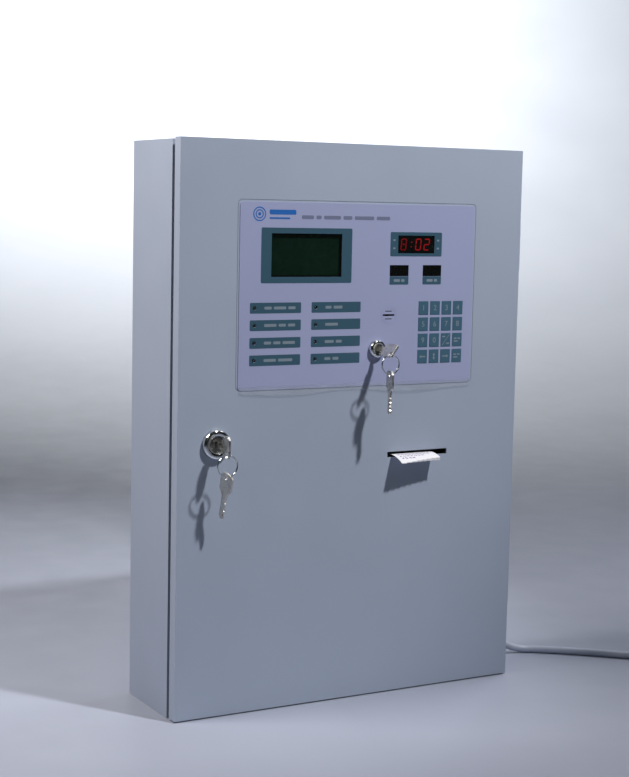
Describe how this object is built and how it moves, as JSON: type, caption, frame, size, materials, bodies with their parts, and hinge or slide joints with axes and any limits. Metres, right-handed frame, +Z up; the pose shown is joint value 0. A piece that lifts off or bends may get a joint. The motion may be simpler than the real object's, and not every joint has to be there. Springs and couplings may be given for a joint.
{
  "type": "fire alarm control panel",
  "caption": "Wall cabinet of painted steel with a hinged door that carries a membrane film with display, lamps, keypad and key switch, a cam lock and a paper slot.",
  "frame": {"origin": "centre of the cabinet shell's underside", "axes": "+X to the right seen from the front, -Y out of the door, +Y towards the wall, +Z up"},
  "size_m": [0.632, 0.1646, 0.5002],
  "materials": {
    "painted_steel": "fine textured powder coat, bluish light grey",
    "zinc_plated_steel": "zinc plated",
    "chrome": "polished",
    "key_nickel": "nickel plated brass keys, worn",
    "circuit_board": "green solder mask",
    "terminal_green": "moulded green",
    "battery_case": "moulded grey black",
    "black_plastic": "moulded black",
    "printed_film": "lavender printed polycarbonate film, satin gloss",
    "key_print": "teal grey printed key pads",
    "window": "clear window",
    "lcd_glass": "dark green display",
    "lamp_lens": "unlit lamp",
    "paper": "thin printer paper",
    "gasket_foam": "closed cell foam",
    "cord_white": "white flexible lead",
    "plug_white": "moulded white plug",
    "roller_rubber": "black rubber",
    "rocker_red": "red rocker",
    "rocker_green": "green rocker",
    "loom": "bundled wires"
  },
  "bodies": {
    "cabinet": {"cabinet_shell": "painted_steel", "cabinet_hinge_leaves": "painted_steel", "hinge_pins": "zinc_plated_steel", "main_board": "circuit_board", "terminal_blocks": "terminal_green", "power_supply": "zinc_plated_steel", "batteries": "battery_case", "battery_bracket": "zinc_plated_steel", "switch_bracket": "zinc_plated_steel", "cabinet_screws": "zinc_plated_steel", "gland_plate": "painted_steel", "cable_gland": "black_plastic", "mains_cord": "cord_white", "cord_coil": "cord_white", "mains_plug": "plug_white", "door_loom": "loom"},
    "door": {"door_panel": "painted_steel", "door_gasket": "gasket_foam", "door_hinge_leaves": "painted_steel", "front_film": "printed_film", "display_windows": "window", "lcd_module": "lcd_glass", "segment_displays": "black_plastic", "status_leds": "lamp_lens", "display_board": "circuit_board", "lock_housing": "chrome", "switch_housing": "chrome", "door_nuts": "zinc_plated_steel", "printer_frame": "zinc_plated_steel", "print_mechanism": "black_plastic", "paper_strip": "paper"},
    "lock_barrel": {"lock_plug": "key_nickel", "lock_cam": "zinc_plated_steel"},
    "lock_key": {"lock_key": "key_nickel"},
    "lock_ring": {"lock_ring": "chrome"},
    "lock_spare_key": {"lock_spare_key": "key_nickel"},
    "switch_barrel": {"switch_plug": "key_nickel"},
    "switch_key": {"switch_key": "key_nickel"},
    "switch_ring": {"switch_ring": "chrome"},
    "switch_spare_key": {"switch_spare_key": "key_nickel"},
    "paper_roll": {"paper_roll": "paper"},
    "feed_roller": {"feed_roller": "roller_rubber"},
    "mains_rocker": {"mains_rocker": "rocker_red"},
    "battery_rocker": {"battery_rocker": "rocker_green"},
    "key_01": {"key_01": "key_print"},
    "key_02": {"key_02": "key_print"},
    "key_03": {"key_03": "key_print"},
    "key_04": {"key_04": "key_print"},
    "key_05": {"key_05": "key_print"},
    "key_06": {"key_06": "key_print"},
    "key_07": {"key_07": "key_print"},
    "key_08": {"key_08": "key_print"},
    "key_09": {"key_09": "key_print"},
    "key_10": {"key_10": "key_print"},
    "key_11": {"key_11": "key_print"},
    "key_12": {"key_12": "key_print"},
    "key_13": {"key_13": "key_print"},
    "key_14": {"key_14": "key_print"},
    "key_15": {"key_15": "key_print"},
    "key_16": {"key_16": "key_print"}
  },
  "joints": [
    {"name": "door_swing", "type": "hinge", "parent": "cabinet", "child": "door", "pos_m": [0.1795, -0.0435, 0.25], "axis": [0, 0, 1], "range_deg": [0, 120], "deforming": ["door_loom"]},
    {"name": "lock_turn", "type": "hinge", "parent": "door", "child": "lock_barrel", "pos_m": [-0.139, -0.05, 0.241], "axis": [0, 1, 0], "range_deg": [0, 90]},
    {"name": "lock_key_pull", "type": "slide", "parent": "lock_barrel", "child": "lock_key", "axis": [0, -1, 0], "range_m": [0, 0.022]},
    {"name": "lock_ring_swing", "type": "hinge", "parent": "lock_key", "child": "lock_ring", "pos_m": [-0.139, -0.0805, 0.2346], "axis": [0, 1, 0], "range_deg": [-45, 45]},
    {"name": "lock_spare_key_swing", "type": "hinge", "parent": "lock_ring", "child": "lock_spare_key", "pos_m": [-0.139, -0.0805, 0.216], "axis": [1, 0, 0], "range_deg": [-60, 12]},
    {"name": "switch_turn", "type": "hinge", "parent": "door", "child": "switch_barrel", "pos_m": [0.0193, -0.05, 0.3193], "axis": [0, 1, 0], "range_deg": [-36, 54]},
    {"name": "switch_key_pull", "type": "slide", "parent": "switch_barrel", "child": "switch_key", "axis": [0, -1, 0], "range_m": [0, 0.022]},
    {"name": "switch_ring_swing", "type": "hinge", "parent": "switch_key", "child": "switch_ring", "pos_m": [0.01712, -0.086, 0.3163], "axis": [0, 1, 0], "range_deg": [-8, 30]},
    {"name": "switch_spare_key_swing", "type": "hinge", "parent": "switch_ring", "child": "switch_spare_key", "pos_m": [0.01712, -0.086, 0.2987], "axis": [1, 0, 0], "range_deg": [-60, 25]},
    {"name": "key_01_press", "type": "slide", "parent": "door", "child": "key_01", "axis": [0, 1, 0], "range_m": [0, 0.0005], "stiffness_N_per_m": 2000},
    {"name": "key_02_press", "type": "slide", "parent": "door", "child": "key_02", "axis": [0, 1, 0], "range_m": [0, 0.0005], "stiffness_N_per_m": 2000},
    {"name": "key_03_press", "type": "slide", "parent": "door", "child": "key_03", "axis": [0, 1, 0], "range_m": [0, 0.0005], "stiffness_N_per_m": 2000},
    {"name": "key_04_press", "type": "slide", "parent": "door", "child": "key_04", "axis": [0, 1, 0], "range_m": [0, 0.0005], "stiffness_N_per_m": 2000},
    {"name": "key_05_press", "type": "slide", "parent": "door", "child": "key_05", "axis": [0, 1, 0], "range_m": [0, 0.0005], "stiffness_N_per_m": 2000},
    {"name": "key_06_press", "type": "slide", "parent": "door", "child": "key_06", "axis": [0, 1, 0], "range_m": [0, 0.0005], "stiffness_N_per_m": 2000},
    {"name": "key_07_press", "type": "slide", "parent": "door", "child": "key_07", "axis": [0, 1, 0], "range_m": [0, 0.0005], "stiffness_N_per_m": 2000},
    {"name": "key_08_press", "type": "slide", "parent": "door", "child": "key_08", "axis": [0, 1, 0], "range_m": [0, 0.0005], "stiffness_N_per_m": 2000},
    {"name": "key_09_press", "type": "slide", "parent": "door", "child": "key_09", "axis": [0, 1, 0], "range_m": [0, 0.0005], "stiffness_N_per_m": 2000},
    {"name": "key_10_press", "type": "slide", "parent": "door", "child": "key_10", "axis": [0, 1, 0], "range_m": [0, 0.0005], "stiffness_N_per_m": 2000},
    {"name": "key_11_press", "type": "slide", "parent": "door", "child": "key_11", "axis": [0, 1, 0], "range_m": [0, 0.0005], "stiffness_N_per_m": 2000},
    {"name": "key_12_press", "type": "slide", "parent": "door", "child": "key_12", "axis": [0, 1, 0], "range_m": [0, 0.0005], "stiffness_N_per_m": 2000},
    {"name": "key_13_press", "type": "slide", "parent": "door", "child": "key_13", "axis": [0, 1, 0], "range_m": [0, 0.0005], "stiffness_N_per_m": 2000},
    {"name": "key_14_press", "type": "slide", "parent": "door", "child": "key_14", "axis": [0, 1, 0], "range_m": [0, 0.0005], "stiffness_N_per_m": 2000},
    {"name": "key_15_press", "type": "slide", "parent": "door", "child": "key_15", "axis": [0, 1, 0], "range_m": [0, 0.0005], "stiffness_N_per_m": 2000},
    {"name": "key_16_press", "type": "slide", "parent": "door", "child": "key_16", "axis": [0, 1, 0], "range_m": [0, 0.0005], "stiffness_N_per_m": 2000},
    {"name": "paper_roll_spin", "type": "hinge", "parent": "door", "child": "paper_roll", "pos_m": [0.0612, -0.03, 0.184], "axis": [1, 0, 0], "continuous": true},
    {"name": "feed_roller_spin", "type": "hinge", "parent": "door", "child": "feed_roller", "pos_m": [0.0668, -0.044, 0.21789], "axis": [1, 0, 0], "continuous": true},
    {"name": "mains_rocker_tilt", "type": "hinge", "parent": "cabinet", "child": "mains_rocker", "pos_m": [-0.024, -0.011, 0.16], "axis": [-1, 0, 0], "range_deg": [0, 24]},
    {"name": "battery_rocker_tilt", "type": "hinge", "parent": "cabinet", "child": "battery_rocker", "pos_m": [0.004, -0.011, 0.16], "axis": [-1, 0, 0], "range_deg": [0, 24]}
  ],
  "couplings": [
    {"joint": "feed_roller_spin", "follows": "paper_roll_spin", "ratio": 4}
  ]
}
